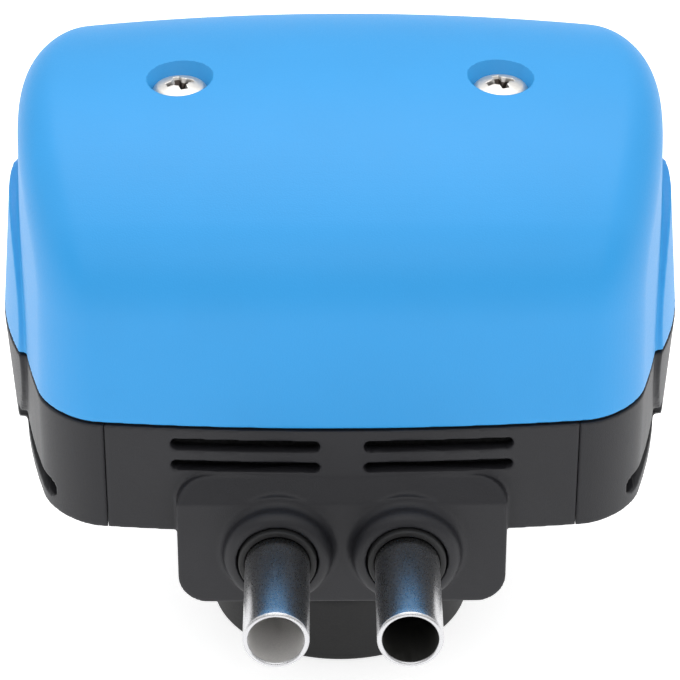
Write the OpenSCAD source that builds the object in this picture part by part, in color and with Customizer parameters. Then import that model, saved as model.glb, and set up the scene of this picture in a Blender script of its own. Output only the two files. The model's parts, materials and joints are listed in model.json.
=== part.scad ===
// Pneumatic pulsator: two rubber diaphragms drive a shuttle that switches vacuum between two pulse nipples.
// Origin at the centre of the foot's bottom face, +Z up, nipples towards -Y, shuttle along X.
// Every length is in millimetres.

/* [Housing] */
// Half width over the end walls, on the centre line at the parting
body_half_x = 46.9; // [46.5:0.1:57]
// Half depth over the front and rear walls, on the centre line
body_half_y = 39.6; // [36:0.1:48]
// Radius of the bow of the end walls, seen from above
end_bow_r = 115; // [90:1:200]
// Radius of the bow of the front and rear walls, seen from above
side_bow_r = 300; // [200:5:900]
// Rounding of the four upright corners
corner_r = 7.5; // [6.5:0.5:12]
// Height of the parting between cover and lower housing above the foot's bottom
parting_z = 54.5; // [53:0.5:66]
// Height of the lower housing under the parting
lower_h = 17.3; // [16.5:0.1:21]
// Gap between cover and lower housing that the gasket fills
parting_gap = 0.35; // [0.2:0.05:0.6]
// Wall of the housing and the cover
wall = 2.2; // [1.8:0.1:2.8]
// Floor of the lower housing
floor_t = 1.8; // [1.5:0.1:2.4]
// Distance of the seams between centre body and end covers from the middle
seam_x = 32.75; // [31.5:0.25:36]
// Width of those seams
seam_gap = 0.12; // [0.05:0.01:0.2]

/* [Top cover] */
// Height of the cover above the parting
cover_h = 38.1; // [36.5:0.1:46]
// Radius of the rounding between front wall and top
cover_shoulder_r = 15; // [12:0.5:18]
// Radius of the crown of the top, seen from the end
cover_crown_r = 60; // [56:1:90]
// Radius of the crown of the top, seen from the front
cover_long_crown_r = 500; // [300:10:900]
// Rounding between end wall and top
cover_edge_r = 6; // [4:0.5:8]
// Inward lean of the end walls per millimetre of height
cover_lean = 0.033; // [0:0.001:0.06]
// Inward draft of the front and rear walls per millimetre of height
cover_draft = 0.02; // [0:0.005:0.03]

/* [End discs] */
// Radius of the raised disc on each end
disc_r = 19.2; // [16:0.1:22]
// Distance that the disc's face stands out of the end wall, on the centre line
disc_proud = 2.6; // [2:0.1:4]
// Radius of the bow of the disc's face, seen from above
disc_bow_r = 52.7; // [45:0.1:90]
// Inward lean of the disc's upper half in degrees
disc_lean_up = 5; // [0:0.5:6]
// Inward lean of the disc's lower half in degrees
disc_lean_down = 3.5; // [0:0.5:6]

/* [Cover screws] */
// Distance of each cover screw from the middle
cover_screw_x = 22.5; // [20:0.5:24]
// Offset of the cover screws from the centre line
cover_screw_y = -6; // [-8:0.5:0]
// Diameter of the cover screws
cover_screw_d = 4; // [3:0.5:4.5]
// Diameter of the cover screws' heads
cover_head_d = 8; // [6:0.5:8.5]
// Height of those heads
cover_head_h = 2.9; // [2:0.1:3.2]
// Length of the shank under the head
cover_screw_l = 12; // [10:0.5:13]
// Clearance round the head in its recess
head_gap = 0.65; // [0.3:0.05:1]
// Depth of the head's top under the surface
head_sink = 0.6; // [0.2:0.1:1.2]
// Thickness of the cover's boss under the screw's head
cover_seat_t = 4.8; // [3:0.1:6]
// Diameter of the brass inserts in the posts
insert_d = 6; // [5:0.5:6.5]
// Length of those inserts
insert_l = 8; // [6:0.5:9]

/* [Vents and slots] */
// Nearest point of the vents to the middle
vent_x0 = 3.05; // [2:0.05:5]
// Farthest point of the vents from the middle
vent_x1 = 23.6; // [20:0.1:28]
// Distance of the upper vents under the parting
vent_drop = 2.9; // [2.5:0.1:3.5]
// Distance between upper and lower vents
vent_pitch = 3.4; // [3:0.1:4]
// Height of the upper vents
vent_h_upper = 1.8; // [1:0.1:2]
// Height of the lower vents
vent_h_lower = 1.5; // [1:0.1:2]
// Distance of the side slots' axis under the parting
slot_drop = 13.9; // [11:0.1:14]
// Height of the side slots
slot_h = 2.7; // [2:0.1:3.6]
// Nearest point of the side slots to the centre line
slot_y0 = 12; // [8:0.5:16]
// Farthest point of the side slots from the centre line
slot_y1 = 33.5; // [28:0.5:34]

/* [Port block] */
// Half width of the port block
block_half_x = 23; // [21:0.5:27]
// Distance that the block stands out of the front wall
block_proud = 1.9; // [1.6:0.1:4]
// Distance of the block's rear face behind the middle
block_rear = 17; // [15:0.5:20]
// Distance of the block's upper edge under the parting
block_top_drop = 7.6; // [7.2:0.1:9]
// Depth of the block under the lower housing
block_depth = 10.4; // [9.5:0.1:12]
// Rounding of the block's corners
block_r = 4.3; // [3:0.1:5]
// Height of the slope that leads the block's front face into the wall
block_slope = 3.5; // [2:0.1:5]

/* [Pulse nipples] */
// Distance between the two nipples
nipple_pitch = 18; // [17.5:0.5:21.5]
// Distance of the nipples' axes under the parting
nipple_drop = 18.7; // [18.4:0.1:19.5]
// Outer diameter of the nipples
nipple_od = 9; // [7.5:0.1:10.8]
// Wall of the nipples
nipple_wall = 0.75; // [0.6:0.05:1]
// Length of the nipples in front of the collars
nipple_l = 17.6; // [14:0.1:26]
// Length of the nipples inside the block
nipple_seat = 13; // [11:0.5:15]
// Wall of the collars round the nipples' bushes
collar_wall = 1.9; // [1.2:0.05:2]
// Rounding of the collars' front edges
collar_round = 1.6; // [0.5:0.1:1.7]
// Open ring between a collar and its bush's lip
bush_gap = 0.25; // [0.15:0.05:0.4]
// Distance of the collars' faces in front of the block
collar_l = 3; // [2:0.1:4]
// Radius of the hollow flare at the collars' roots
flare_r = 1.2; // [0.8:0.05:1.3]
// Distance that the bushes' lips stand out of the collars
lip_proud = 0.6; // [0.2:0.1:1]
// Thickness of the rubber bushes' lips
bush_lip_t = 0.95; // [0.7:0.05:1.2]

/* [Shuttle] */
// Height of the shuttle's axis above the parting
shuttle_rise = 6; // [5.5:0.1:6.4]
// Travel of the shuttle to each side
travel = 3; // [2:0.1:3]
// Diameter of the shuttle shaft
shaft_d = 5; // [4:0.1:6]
// Running clearance of the shaft in its bushes, on the radius
shaft_fit = 0.05; // [0.02:0.01:0.1]
// Wall of the shaft bushes
shaft_bush_wall = 1.5; // [1:0.1:2]
// Radius of the diaphragms
diaphragm_r = 20; // [16.6:0.1:20.4]
// Thickness of the diaphragms
diaphragm_t = 1.2; // [0.8:0.1:1.4]
// Width of the diaphragms' clamped rims
clamp_band = 3; // [2.5:0.1:4]
// Width of the ledge by which the inner chambers are narrower than the outer ones
ledge_w = 3; // [2.5:0.1:3.5]
// Free width of rubber between support plate and inner chamber
roll_w = 3; // [2.5:0.1:4]
// Thickness of the support plates
plate_t = 1.5; // [1:0.1:1.5]
// Thickness of the flanges that clamp the diaphragms
flange_t = 4; // [3.5:0.1:4.5]
// Distance of the end cover screws outside the diaphragms' edges
clamp_out = 3.5; // [3.2:0.1:5]
// Diameter of the end cover screws
clamp_screw_d = 3; // [2:0.1:3.2]

/* [Valve] */
// Distance between the two outer ports of the port plate
port_pitch = 18; // [16:0.5:18.5]
// Thickness of the port plates
plate_h = 2; // [1.5:0.1:2.2]
// Thickness of the gasket under them
gasket_t = 0.8; // [0.5:0.1:1]
// Distance of the port plates' faces under the parting
plate_drop = 2; // [1.8:0.1:2.4]
// Height of the main slide
slide_h = 3; // [2.5:0.1:3.2]
// Width of the land at each end of the main slide
slide_land = 4; // [3.5:0.1:4.5]
// Length of each arm of the rocker
rocker_arm = 7.5; // [7:0.1:8]
// Diameter of the drive pins in the rocker's forks
drive_pin_d = 2.5; // [2:0.1:2.8]
// Clearance of the drive pins in the forks, on each side
fork_gap = 0.25; // [0.2:0.05:0.4]

/* [Rate screw] */
// Distance of the rate screw from the middle
rate_x = 12; // [8:0.5:16]
// Distance of the rate screw under the parting
rate_drop = 9; // [8.5:0.1:10]
// Diameter of the rate screw
rate_d = 5; // [4:0.1:5.4]
// Diameter of the rate screw's head
rate_head_d = 7; // [6:0.1:7.6]

/* [Vacuum connection] */
// Radius of the rubber foot
foot_r = 19.9; // [18:0.1:24]
// Height of the foot's wide part
foot_h = 13; // [11:0.5:14]
// Bore of the foot's socket
socket_d = 16; // [15:0.1:18]
// Depth of the foot's socket
socket_l = 12; // [10:0.5:12.5]
// Outer diameter of the vacuum stem
stem_od = 16; // [15:0.1:17]
// Bore of the vacuum stem
stem_bore = 11; // [9:0.1:12]
// Clearance between seated pieces of one body
seat_gap = 0.05; // [0.02:0.01:0.08]

/* [Hidden] */
$fn = 48;
eps = 0.01;
far = 60;

// Heights worked out from the parting
housing_z = parting_z - lower_h;
floor_z = housing_z + floor_t;
block_z = housing_z - block_depth;
axis_z = parting_z + shuttle_rise;
plate_z = parting_z - plate_drop;
table_z = plate_z - plate_h - gasket_t;
nipple_z = parting_z - nipple_drop;
rate_z = parting_z - rate_drop;

// Faces and diameters worked out from their neighbours
disc_x = body_half_x + disc_proud;
block_front = body_half_y + block_proud;
nipple_reach = block_front + collar_l + lip_proud + nipple_l;
nipple_bore = nipple_od - 2 * nipple_wall;
bush_od = nipple_od + 2 * bush_lip_t;
collar_bore = bush_od + 2 * bush_gap;
collar_od = collar_bore + 2 * collar_wall;
shaft_bush_od = shaft_d + 2 * shaft_bush_wall;
chamber_r = diaphragm_r - clamp_band;
inner_chamber_r = chamber_r - ledge_w;
plate_r = inner_chamber_r - roll_w;
clamp_r = diaphragm_r + clamp_out;

// Cover
wall_steps = 4;
arc_steps = 8;
crown_steps = 7;
mid_steps = 8;
end_rings = [0.05, 0.3, 0.6, 0.85];
plan_steps = 8;
plan_corner_step = 5;
boss_r = 6.5;
boss_drop = 1.2;
post_r = 4.8;
post_play = 0.5;
head_crown = 0.35;
cross_turn = 20;
cross_half = 2.1;
cross_slit = 0.45;
cross_depth = 1.6;
cross_pit_r = 0.9;
recess_r = cover_head_d / 2 + head_gap;
cover_drop_at_screw = cover_screw_x * cover_screw_x / (2 * cover_long_crown_r)
    + cover_screw_y * cover_screw_y / (2 * cover_crown_r);
head_top_z = parting_z + cover_h - cover_drop_at_screw - head_sink;
head_seat_z = head_top_z - cover_head_h;
post_z = head_seat_z - cover_seat_t;
post_foot_z = axis_z + shaft_bush_od / 2 + 0.2;

// Diaphragm clamp
ear_angles = [-5, 50, 130, 185];
ear_r = 4.2;
rim_r = diaphragm_r + 2.5;
inner_chamber_l = plate_t + travel + 0.3;
inner_wall_t = 2;
body_flange_t = diaphragm_t + inner_chamber_l + inner_wall_t;
bush_out = 6.5;
bush_x0 = seam_x - body_flange_t - bush_out;
bush_x1 = seam_x - body_flange_t + inner_wall_t;
bush_housing_t = 3;
web_half = 2;
flange_foot = 6;
cup_wall = 2.2;
nut_h = 3;
nut_r = shaft_d / 2 + 1.9;
plate_lip = 0.5;
roll_h = 1.6;
shaft_tip = 1;
cup_depth = plate_t + nut_h + shaft_tip + travel + 0.7;
cup_end_t = 1.5;
cup_taper = 7.5;
tongue_y = 29;
tongue_w = 4;
tongue_l = 4;
tongue_t = 2.4;
clamp_head_r = 2.75;
clamp_head_h = 2;
clamp_thread_l = 5.5;
clamp_slit = 0.35;
clamp_cross = 1.6;

// Pulse nipples
nipple_step = 0.25;
flare = min(flare_r, nipple_z - block_z - collar_od / 2 - 0.2);
lip_y = -block_front - collar_l - lip_proud;
lip_root = 2;

// Slide valve
port_r = 1.5;
port_x = port_pitch / 2;
slide_half_x = port_x + slide_land / 2 + 0.5;
slide_half_y = 5;
leg_gap = 0.1;
leg_t = 2;
yoke_half_x = slide_half_x + leg_gap + leg_t;
yoke_half_y = 4.5;
yoke_z0 = plate_z + slide_h + 1;
yoke_z1 = axis_z + shaft_d / 2 + 1.6;
table_half_x = slide_half_x + travel + 2.5;
table_front = -22.5;
table_rear = 28;
duct_r = 2;
duct_y = table_front + 2 + duct_r;
duct_z = table_z - 4;
pivot_y = 15;
drive_y = pivot_y - rocker_arm;
pilot_y = pivot_y + rocker_arm;
rocker_t = 2;
rocker_z = plate_z + slide_h + 2.5;
fork_r = drive_pin_d / 2 + fork_gap;
fork_reach = rocker_arm + 2.1;
fork_half = fork_r + 1.4;
pilot_half_x = 5;
pilot_half_y = 3.5;
pilot_h = 3.5;

// Rate screw
rate_boss_proud = 2.4;
rate_wall_y = body_half_y + rate_boss_proud;
rate_duct_y = 18;
rate_seal_back = 2.9;
rate_bush_r = rate_d / 2 + 1.5;
rate_bush_l = 12;
rate_cone_l = 4;
rate_lift = 1.6;

// Vacuum connection
stem_flange_r = stem_od / 2 + 4;
stem_flange_t = 2;
stem_seal_t = 0.6;
stem_nut_r = stem_od / 2 + 4;
stem_top_z = housing_z - 1.2;
plenum_half_x = 15;
plenum_front = -14;
plenum_rear = block_rear - 3;
block_floor_t = 3;
plenum_z = block_z + block_floor_t;
neck_r = stem_od / 2 + 5;
foot_round = 3;
stem_z = socket_l + 1.5;

ink = [0.16, 0.16, 0.17];
sky = [0.20, 0.58, 0.89];
steel = [0.75, 0.76, 0.78];
brass = [0.80, 0.66, 0.36];
rubber = [0.10, 0.10, 0.11];
white_resin = [0.92, 0.91, 0.87];

// ---- Outline of the housing, shared by cover, gasket and lower housing ----

// Distance that a bow of radius r falls away at distance a from its middle
function bow(a, r) = a * a / (2 * r);

// Moves a point of the straight-sided block onto the bowed and leaning walls
function bowed(p) =
    let (x = p[0] * (1 - (bow(p[1], end_bow_r) + cover_lean * max(p[2], 0)) / body_half_x))
    [x,
     p[1] * (1 - bow(x, side_bow_r) / body_half_y),
     p[2] * (1 - (p[2] > 0 ? bow(x, cover_long_crown_r) / cover_h : 0))];

// Centre of the crown circle and of the shoulder circle of the cover's section
crown_c = cover_h - cover_crown_r;
shoulder_y = body_half_y - cover_shoulder_r - cover_draft * cover_h / 2;
shoulder_z = crown_c + sqrt(pow(cover_crown_r - cover_shoulder_r, 2) - shoulder_y * shoulder_y);
shoulder_end = atan2(shoulder_z - crown_c, shoulder_y);

// One side of the cover's section, from the parting to the top, pulled in by d
function half_section(d, z0) = concat(
    [for (i = [0 : wall_steps - 1])
        let (z = z0 + (shoulder_z - z0) * i / wall_steps)
        [body_half_y - d - (shoulder_z > 0 ? max(z, 0) / shoulder_z : 0) * cover_draft * cover_h / 2, z]],
    [for (i = [0 : arc_steps - 1])
        let (a = shoulder_end * i / arc_steps, r = cover_shoulder_r - d)
        [shoulder_y + r * cos(a), shoulder_z + r * sin(a)]],
    [for (i = [0 : crown_steps])
        let (a = shoulder_end + (90 - shoulder_end) * i / crown_steps, r = cover_crown_r - d)
        [r * cos(a), crown_c + r * sin(a)]]
);

// The whole section, front to rear
function section(d, z0) =
    let (h = half_section(d, z0), n = len(h))
    concat([for (p = h) [-p[0], p[1]]], [for (i = [n - 2 : -1 : 0]) h[i]]);

// Rounding radius at the end, from the upright corners to the top edge
function edge_radius(z) = let (k = min(max(z / cover_h, 0), 1))
    corner_r + (cover_edge_r - corner_r) * k;

// Ring of the cover at rounding angle a, or at a straight station
function end_ring(side, a, inset, z0) =
    let (outer = section(inset, z0))
    [for (i = [0 : len(outer) - 1])
        let (r = max(edge_radius(outer[i][1]) - inset, 0.5),
             q = section(inset + r * (1 - cos(a)), z0)[i])
        bowed([side * (body_half_x - inset - r + r * sin(a)), q[0], q[1]])];

function cap_ring(side, k, inset, z0) =
    let (outer = section(inset, z0))
    [for (i = [0 : len(outer) - 1])
        let (r = max(edge_radius(outer[i][1]) - inset, 0.5),
             q = section(inset + r, z0)[i])
        bowed([side * (body_half_x - inset), k * q[0], z0 + k * (q[1] - z0)])];

function mid_ring(x, inset, z0) = [for (q = section(inset, z0)) bowed([x, q[0], q[1]])];

function cover_rings(inset, z0) =
    let (straight = body_half_x - corner_r - 1)
    concat(
        [for (k = end_rings) cap_ring(-1, k, inset, z0)],
        [for (a = [90 : -15 : 0]) end_ring(-1, a, inset, z0)],
        [for (i = [0 : mid_steps]) mid_ring(straight * (2 * i / mid_steps - 1), inset, z0)],
        [for (a = [0 : 15 : 90]) end_ring(1, a, inset, z0)],
        [for (i = [len(end_rings) - 1 : -1 : 0]) cap_ring(1, end_rings[i], inset, z0)]
    );

module cover_solid(inset, z0) {
    rings = cover_rings(inset, z0);
    n = len(rings);
    m = len(rings[0]);
    points = [for (ring = rings) for (p = ring) p];
    sides = [for (i = [0 : n - 2]) for (j = [0 : m - 2])
        for (t = [[i * m + j, i * m + j + 1, (i + 1) * m + j + 1],
                  [i * m + j, (i + 1) * m + j + 1, (i + 1) * m + j]]) t];
    bottom = concat([for (i = [n - 1 : -1 : 0]) i * m], [for (i = [0 : n - 1]) i * m + m - 1]);
    first = [for (j = [m - 1 : -1 : 0]) j];
    last = [for (j = [0 : m - 1]) (n - 1) * m + j];
    translate([0, 0, parting_z]) polyhedron(points, concat(sides, [bottom, first, last]), convexity = 4);
}

// Plan of the housing at the parting, pulled in by d
function plan_quarter(d) = concat(
    [for (i = [0 : plan_steps - 1])
        let (p = bowed([body_half_x - d, (body_half_y - corner_r) * i / plan_steps, 0])) [p[0], p[1]]],
    [for (a = [0 : plan_corner_step : 90])
        let (p = bowed([body_half_x - corner_r + (corner_r - d) * cos(a),
                        body_half_y - corner_r + (corner_r - d) * sin(a), 0])) [p[0], p[1]]],
    [for (i = [1 : plan_steps])
        let (p = bowed([(body_half_x - corner_r) * (1 - i / plan_steps), body_half_y - d, 0])) [p[0], p[1]]]
);

function plan(d) =
    let (q = plan_quarter(d), n = len(q))
    concat(
        q,
        [for (i = [n - 2 : -1 : 0]) [-q[i][0], q[i][1]]],
        [for (i = [1 : n - 1]) [-q[i][0], -q[i][1]]],
        [for (i = [n - 2 : -1 : 1]) [q[i][0], -q[i][1]]]
    );

module plan_block(d, z0, z1) {
    translate([0, 0, z0]) linear_extrude(z1 - z0) polygon(plan(d));
}

// ---- Small helpers ----

module x_cylinder(r, x0, x1) {
    translate([x0, 0, 0]) rotate([0, 90, 0]) cylinder(r = r, h = x1 - x0);
}

module y_cylinder(r, y0, y1) {
    translate([0, y1, 0]) rotate([90, 0, 0]) cylinder(r = r, h = y1 - y0);
}

module box(x0, x1, y0, y1, z0, z1) {
    translate([x0, y0, z0]) cube([x1 - x0, y1 - y0, z1 - z0]);
}

// Turns a profile of [radius, x] points about the shuttle's axis
module turned_on_shuttle(profile) {
    translate([0, 0, axis_z]) rotate([0, 90, 0]) rotate_extrude() polygon(profile);
}

module on_side(side) {
    if (side > 0) children();
    else mirror([1, 0, 0]) children();
}

module at_ears() {
    for (a = ear_angles)
        translate([0, clamp_r * cos(a), axis_z + clamp_r * sin(a)]) children();
}

// Horizontal round-ended cutter along X from x0 to x1, through the front wall
module vent(x0, x1, z, h) {
    r = h / 2;
    y0 = -body_half_y - 5;
    y1 = -body_half_y + wall + 4;
    translate([x0 + r, 0, z]) y_cylinder(r, y0, y1);
    translate([x1 - r, 0, z]) y_cylinder(r, y0, y1);
    box(x0 + r, x1 - r, y0, y1, z - r, z + r);
}

// Raised disc on the right end, upper half with the cover, lower half with the end cover
module disc_pad(up) {
    lean = up ? -disc_lean_up : disc_lean_down;
    intersection() {
        translate([0, 0, parting_z]) x_cylinder(disc_r, body_half_x - wall - 4, disc_x + 1);
        translate([disc_x - disc_bow_r, 0, parting_z]) rotate([0, lean, 0])
            translate([0, 0, -far / 2]) cylinder(r = disc_bow_r, h = far, $fn = 180);
        if (up) box(0, far, -far, far, parting_z, parting_z + far);
        else box(0, far, -far, far, housing_z, parting_z - parting_gap);
    }
}

// ---- Cover and its screws ----

module top_cover() {
    color(sky) difference() {
        union() {
            difference() {
                union() {
                    cover_solid(0, 0);
                    on_side(1) disc_pad(true);
                    on_side(-1) disc_pad(true);
                }
                cover_solid(wall, -1);
            }
            for (side = [-1, 1])
                translate([side * cover_screw_x, cover_screw_y, post_z + seat_gap])
                    cylinder(r = boss_r, h = head_top_z - post_z - boss_drop);
        }
        for (side = [-1, 1]) translate([side * cover_screw_x, cover_screw_y, 0]) {
            translate([0, 0, head_seat_z - seat_gap]) cylinder(r = recess_r, h = 20);
            translate([0, 0, post_z - 1]) cylinder(r = cover_screw_d / 2 + 0.3, h = 20);
        }
    }
}

module cover_gasket() {
    color(rubber) difference() {
        plan_block(0.7, parting_z - parting_gap + seat_gap / 2, parting_z - seat_gap / 2);
        plan_block(wall - 0.2, parting_z - 1, parting_z + 1);
    }
}

module cover_screws() {
    color(steel) for (side = [-1, 1]) translate([side * cover_screw_x, cover_screw_y, 0]) difference() {
        union() {
            translate([0, 0, head_seat_z]) rotate_extrude() intersection() {
                translate([0, -1]) circle(r = cover_head_d / 2 + head_crown);
                square([cover_head_d / 2, cover_head_h]);
            }
            translate([0, 0, head_seat_z - cover_screw_l])
                cylinder(r = cover_screw_d / 2, h = cover_screw_l + eps);
        }
        for (a = [0, 90]) rotate(a + cross_turn)
            box(-cross_half, cross_half, -cross_slit, cross_slit, head_top_z - cross_depth, head_top_z + 1);
        translate([0, 0, head_top_z - cross_depth - 0.4]) cylinder(r = cross_pit_r, h = 3);
    }
}

module cover_inserts() {
    color(brass) for (side = [-1, 1]) translate([side * cover_screw_x, cover_screw_y, 0]) difference() {
        translate([0, 0, post_z - insert_l]) cylinder(r = insert_d / 2, h = insert_l);
        translate([0, 0, post_z - insert_l - 1]) cylinder(r = cover_screw_d / 2 + seat_gap, h = insert_l + 2);
    }
}

// ---- Lower housing ----

module body_tray() {
    difference() {
        intersection() {
            plan_block(0, housing_z, parting_z - parting_gap);
            box(-seam_x, seam_x, -far, far, 0, far * 2);
        }
        plan_block(wall, floor_z, parting_z + 1);
    }
}

// Clamping flange with its inner chamber, bush housing and screw post, on the right side
module body_flange_solid() {
    translate([0, 0, axis_z]) x_cylinder(rim_r, seam_x - body_flange_t, seam_x);
    at_ears() x_cylinder(ear_r, seam_x - body_flange_t, seam_x);
    box(seam_x - body_flange_t, seam_x, -flange_foot, flange_foot, floor_z - eps, axis_z);
    translate([0, 0, axis_z])
        x_cylinder(shaft_bush_od / 2 + bush_housing_t, bush_x0, seam_x - body_flange_t + eps);
    box(bush_x0, seam_x - body_flange_t + eps, -web_half, web_half, floor_z - eps, axis_z);
    translate([cover_screw_x, cover_screw_y, post_foot_z]) cylinder(r = post_r, h = post_z - post_foot_z);
    box(cover_screw_x, seam_x - body_flange_t + 1, cover_screw_y - web_half, cover_screw_y + web_half,
        post_foot_z, post_z - insert_l);
}

module body_flange_cuts() {
    pocket_x = seam_x - diaphragm_t;
    translate([0, 0, axis_z]) {
        x_cylinder(diaphragm_r + seat_gap, pocket_x - seat_gap, seam_x + 1);
        x_cylinder(inner_chamber_r, pocket_x - inner_chamber_l, seam_x);
        x_cylinder(shaft_bush_od / 2 + seat_gap, bush_x0 - 1, bush_x1 + seat_gap);
        x_cylinder(shaft_d / 2 + 0.6, bush_x0, seam_x);
    }
    at_ears() x_cylinder(clamp_screw_d / 2 + seat_gap, seam_x - clamp_thread_l - 0.3, seam_x + 1);
    translate([cover_screw_x, cover_screw_y, post_z - insert_l - seat_gap])
        cylinder(r = insert_d / 2 + seat_gap, h = insert_l + 1);
    translate([cover_screw_x, cover_screw_y, head_seat_z - cover_screw_l - post_play])
        cylinder(r = cover_screw_d / 2 + 0.2, h = cover_screw_l);
}

// Block with rounded corners, seen from the front
module port_block_solid() {
    y_top = -body_half_y + wall;
    upper_z = parting_z - block_top_drop;
    intersection() {
        union() {
            for (x = [-1, 1]) {
                translate([x * (block_half_x - block_r), 0, block_z + block_r])
                    y_cylinder(block_r, -block_front, block_rear);
                translate([x * (block_half_x - block_r), 0, upper_z - block_r])
                    y_cylinder(block_r, -block_front, y_top);
            }
            box(-block_half_x + block_r, block_half_x - block_r, -block_front, block_rear,
                block_z, housing_z + eps);
            box(-block_half_x, block_half_x, -block_front, block_rear, block_z + block_r, housing_z + eps);
            box(-block_half_x, block_half_x, -block_front, y_top, housing_z, upper_z - block_r);
            box(-block_half_x + block_r, block_half_x - block_r, -block_front, y_top, housing_z, upper_z);
        }
        block_plan(block_z - 1, parting_z);
        block_face();
    }
}

// Side view of the block, whose front face slopes into the wall at its top
module block_face() {
    upper_z = parting_z - block_top_drop;
    translate([-block_half_x - 1, 0, 0]) rotate([90, 0, 90]) linear_extrude(2 * block_half_x + 2) polygon([
        [-block_front, block_z], [block_rear, block_z], [block_rear, upper_z],
        [-body_half_y, upper_z], [-block_front, upper_z - block_slope]
    ]);
}

// Keeps the block's rear corners round, seen from above
module block_plan(z0, z1) {
    r = block_r;
    for (x = [-1, 1]) translate([x * (block_half_x - r), block_rear - r, z0]) cylinder(r = r, h = z1 - z0);
    box(-block_half_x + r, block_half_x - r, -block_front - 1, block_rear, z0, z1);
    box(-block_half_x - 1, block_half_x + 1, -block_front - 1, block_rear - r, z0, z1);
}

// Collar with a hollow-curved flare at its root and a rounded front edge
module collar() {
    r = collar_od / 2;
    translate([0, -block_front, 0]) rotate([90, 0, 0]) rotate_extrude() polygon(concat(
        [[0, -1], [r + flare, -1]],
        [for (a = [270 : -15 : 180]) [r + flare + flare * cos(a), flare + flare * sin(a)]],
        [for (a = [0 : 15 : 90])
            [r - collar_round + collar_round * cos(a), collar_l - collar_round + collar_round * sin(a)]],
        [[0, collar_l]]
    ));
}

module center_body() {
    color(ink) difference() {
        union() {
            body_tray();
            for (side = [-1, 1]) on_side(side) body_flange_solid();
            box(-table_half_x, table_half_x, table_front, table_rear, floor_z - eps, table_z);
            translate([0, pivot_y, table_z - eps]) cylinder(r = 3, h = rocker_z - 0.1 - table_z);
            port_block_solid();
            for (x = [-1, 1]) translate([x * nipple_pitch / 2, 0, nipple_z]) {
                collar();
                y_cylinder(collar_bore / 2 + wall, -body_half_y + wall, table_front + eps);
            }
            translate([rate_x, 0, rate_z]) y_cylinder(rate_bush_r + 2, table_rear - eps, rate_wall_y);
        }
        for (side = [-1, 1]) on_side(side) {
            body_flange_cuts();
            vent(vent_x0, vent_x1, parting_z - vent_drop, vent_h_upper);
            vent(vent_x0, vent_x1, parting_z - vent_drop - vent_pitch, vent_h_lower);
            pulse_passage();
        }
        vacuum_passage();
        rate_passage();
        translate([0, pivot_y, table_z - 5]) cylinder(r = 1.5 + seat_gap, h = 20);
    }
}

// Way from a nipple's seat to its port, on the right side
module pulse_passage() {
    x = nipple_pitch / 2;
    seat_y = -block_front + nipple_seat;
    translate([x, 0, nipple_z]) {
        y_cylinder(collar_bore / 2, -block_front - collar_l - 1, seat_y);
        y_cylinder(nipple_bore / 2 - 0.4, seat_y - 1, duct_y + 0.5);
    }
    translate([x, duct_y, nipple_z]) cylinder(r = duct_r, h = duct_z - nipple_z);
    translate([0, duct_y, duct_z]) x_cylinder(duct_r, min(x, port_x) - duct_r, max(x, port_x) + duct_r);
    translate([port_x, 0, duct_z]) y_cylinder(duct_r, duct_y - 1, 1);
    translate([port_x, 0, duct_z]) cylinder(r = port_r, h = 6);
}

module vacuum_passage() {
    box(-plenum_half_x, plenum_half_x, plenum_front, plenum_rear, plenum_z, housing_z + eps);
    translate([0, 0, block_z - 1]) cylinder(r = stem_od / 2 + seat_gap, h = block_floor_t + 2);
    translate([0, 0, housing_z - 1]) cylinder(r = 2.5, h = table_z - housing_z + 2);
}

module rate_passage() {
    translate([rate_x, 0, rate_z]) {
        y_cylinder(rate_bush_r + seat_gap, rate_wall_y - rate_bush_l - seat_gap, rate_wall_y + 1);
        y_cylinder(rate_d / 2 + 0.4, rate_duct_y, rate_wall_y - rate_bush_l);
    }
}

// ---- End covers ----

function chamber_profile(grow, back) = [
    [0, -back],
    [chamber_r + grow, -back],
    [chamber_r + grow, cup_depth - 4 + grow / 2],
    [chamber_r - cup_taper + grow, cup_depth + grow * cup_end_t / cup_wall],
    [0, cup_depth + grow * cup_end_t / cup_wall]
];

module end_cover_right() {
    inner_x = seam_x + seam_gap;
    color(ink) difference() {
        union() {
            difference() {
                union() {
                    intersection() {
                        plan_block(0, housing_z, parting_z - parting_gap);
                        box(inner_x, far, -far, far, 0, far * 2);
                    }
                    disc_pad(false);
                }
                plan_block(wall, floor_z, parting_z + 1);
            }
            box(inner_x, inner_x + flange_t, -flange_foot, flange_foot, floor_z - eps, axis_z);
            translate([inner_x, 0, 0]) turned_on_shuttle(chamber_profile(cup_wall, 0));
            translate([0, 0, axis_z]) x_cylinder(rim_r, inner_x, inner_x + flange_t);
            at_ears() x_cylinder(ear_r, inner_x, inner_x + flange_t);
            for (y = [-1, 1]) locating_tongue(y * tongue_y);
        }
        translate([inner_x, 0, 0]) turned_on_shuttle(chamber_profile(0, 1));
        at_ears() x_cylinder(clamp_screw_d / 2 + 0.2, seam_x - 1, seam_x + 10);
        for (y = [-1, 1]) side_slot(y);
    }
}

// Tongue that lies on the centre body's floor
module locating_tongue(y) {
    half = tongue_w / 2;
    box(seam_x - tongue_l, seam_x + tongue_l, y - half, y + half, floor_z + seat_gap, floor_z + tongue_t);
    box(seam_x + seam_gap, seam_x + tongue_l, y - half, y + half, floor_z - eps, floor_z + tongue_t);
}

module end_cover_left() {
    mirror([1, 0, 0]) end_cover_right();
}

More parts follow.
